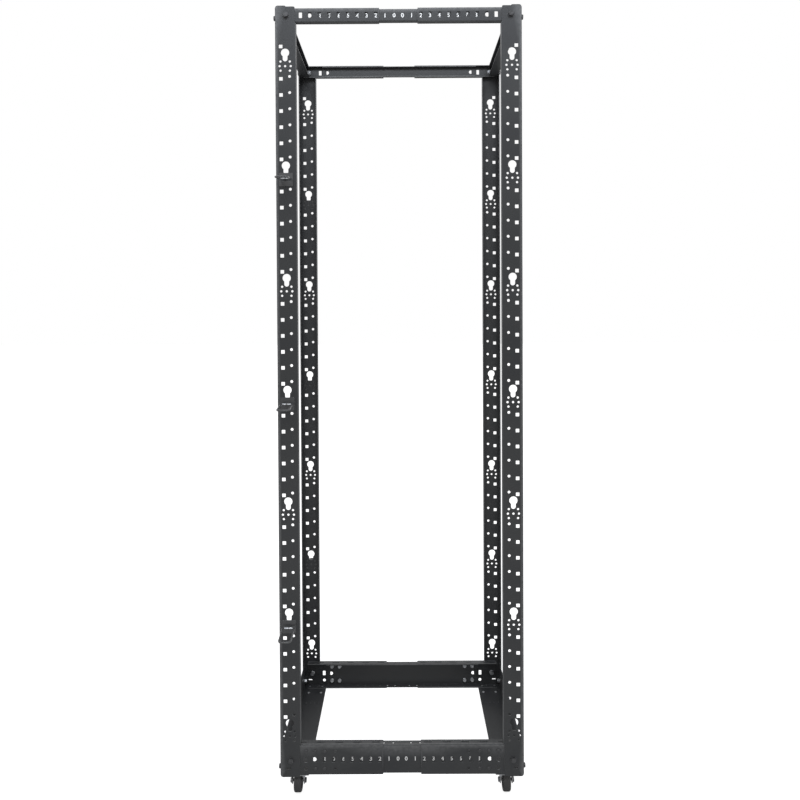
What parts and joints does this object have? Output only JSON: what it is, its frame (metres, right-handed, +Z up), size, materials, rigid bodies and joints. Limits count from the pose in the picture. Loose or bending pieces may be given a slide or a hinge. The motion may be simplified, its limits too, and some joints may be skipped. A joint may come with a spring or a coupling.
{
  "type": "four post open frame rack",
  "caption": "Open frame equipment rack with perforated posts, telescopic side rails, cable rings and swivel casters.",
  "frame": {"origin": "on the floor under the middle of the rack", "axes": "+X from the rear posts to the front posts, +Y to the right side as seen from the front, +Z up"},
  "size_m": [0.6926, 0.7116, 2.2222],
  "materials": {
    "powder_coat": "fine satin black powder coat on steel sheet",
    "zinc_plate": "bright zinc plated pressed steel",
    "wheel_tread": "dull dark grey hard rubber",
    "axle_bolt": "dark plated steel"
  },
  "bodies": {
    "rack_frame": {"front_left_post": "powder_coat", "front_right_post": "powder_coat", "rear_left_post": "powder_coat", "rear_right_post": "powder_coat", "bottom_rail_front_left": "powder_coat", "bottom_rail_front_right": "powder_coat", "bottom_rail_rear_left": "powder_coat", "bottom_rail_rear_right": "powder_coat", "bottom_rail_middle_left": "powder_coat", "bottom_rail_middle_right": "powder_coat", "top_rail_front_left": "powder_coat", "top_rail_front_right": "powder_coat", "top_rail_rear_left": "powder_coat", "top_rail_rear_right": "powder_coat", "top_rail_middle_left": "powder_coat", "top_rail_middle_right": "powder_coat", "bottom_beam_front": "powder_coat", "bottom_beam_rear": "powder_coat", "top_beam_front": "powder_coat", "top_beam_rear": "powder_coat", "flange_bolts_front": "axle_bolt", "flange_bolts_rear": "axle_bolt", "cable_ring_left_1": "powder_coat", "cable_ring_left_2": "powder_coat", "cable_ring_left_3": "powder_coat", "cable_ring_right_1": "powder_coat", "cable_ring_right_2": "powder_coat", "cable_ring_right_3": "powder_coat", "caster_mount_front_left": "zinc_plate", "caster_mount_front_right": "zinc_plate", "caster_mount_rear_left": "zinc_plate", "caster_mount_rear_right": "zinc_plate"},
    "swivel_front_left": {"caster_fork_front_left": "zinc_plate", "caster_axle_front_left": "axle_bolt"},
    "roller_front_left": {"caster_wheel_front_left": "wheel_tread"},
    "swivel_front_right": {"caster_fork_front_right": "zinc_plate", "caster_axle_front_right": "axle_bolt"},
    "roller_front_right": {"caster_wheel_front_right": "wheel_tread"},
    "swivel_rear_left": {"caster_fork_rear_left": "zinc_plate", "caster_axle_rear_left": "axle_bolt"},
    "roller_rear_left": {"caster_wheel_rear_left": "wheel_tread"},
    "swivel_rear_right": {"caster_fork_rear_right": "zinc_plate", "caster_axle_rear_right": "axle_bolt"},
    "roller_rear_right": {"caster_wheel_rear_right": "wheel_tread"}
  },
  "joints": [
    {"name": "caster_swivel_front_left", "type": "hinge", "parent": "rack_frame", "child": "swivel_front_left", "pos_m": [0.298, -0.228, 0.0677], "axis": [0, 0, 1], "continuous": true},
    {"name": "caster_roll_front_left", "type": "hinge", "parent": "swivel_front_left", "child": "roller_front_left", "pos_m": [0.298, -0.206, 0.031], "axis": [1, 0, 0], "continuous": true},
    {"name": "caster_swivel_front_right", "type": "hinge", "parent": "rack_frame", "child": "swivel_front_right", "pos_m": [0.298, 0.228, 0.0677], "axis": [0, 0, 1], "continuous": true},
    {"name": "caster_roll_front_right", "type": "hinge", "parent": "swivel_front_right", "child": "roller_front_right", "pos_m": [0.298, 0.206, 0.031], "axis": [1, 0, 0], "continuous": true},
    {"name": "caster_swivel_rear_left", "type": "hinge", "parent": "rack_frame", "child": "swivel_rear_left", "pos_m": [-0.298, -0.228, 0.0677], "axis": [0, 0, 1], "continuous": true},
    {"name": "caster_roll_rear_left", "type": "hinge", "parent": "swivel_rear_left", "child": "roller_rear_left", "pos_m": [-0.298, -0.206, 0.031], "axis": [1, 0, 0], "continuous": true},
    {"name": "caster_swivel_rear_right", "type": "hinge", "parent": "rack_frame", "child": "swivel_rear_right", "pos_m": [-0.298, 0.228, 0.0677], "axis": [0, 0, 1], "continuous": true},
    {"name": "caster_roll_rear_right", "type": "hinge", "parent": "swivel_rear_right", "child": "roller_rear_right", "pos_m": [-0.298, 0.206, 0.031], "axis": [1, 0, 0], "continuous": true}
  ]
}
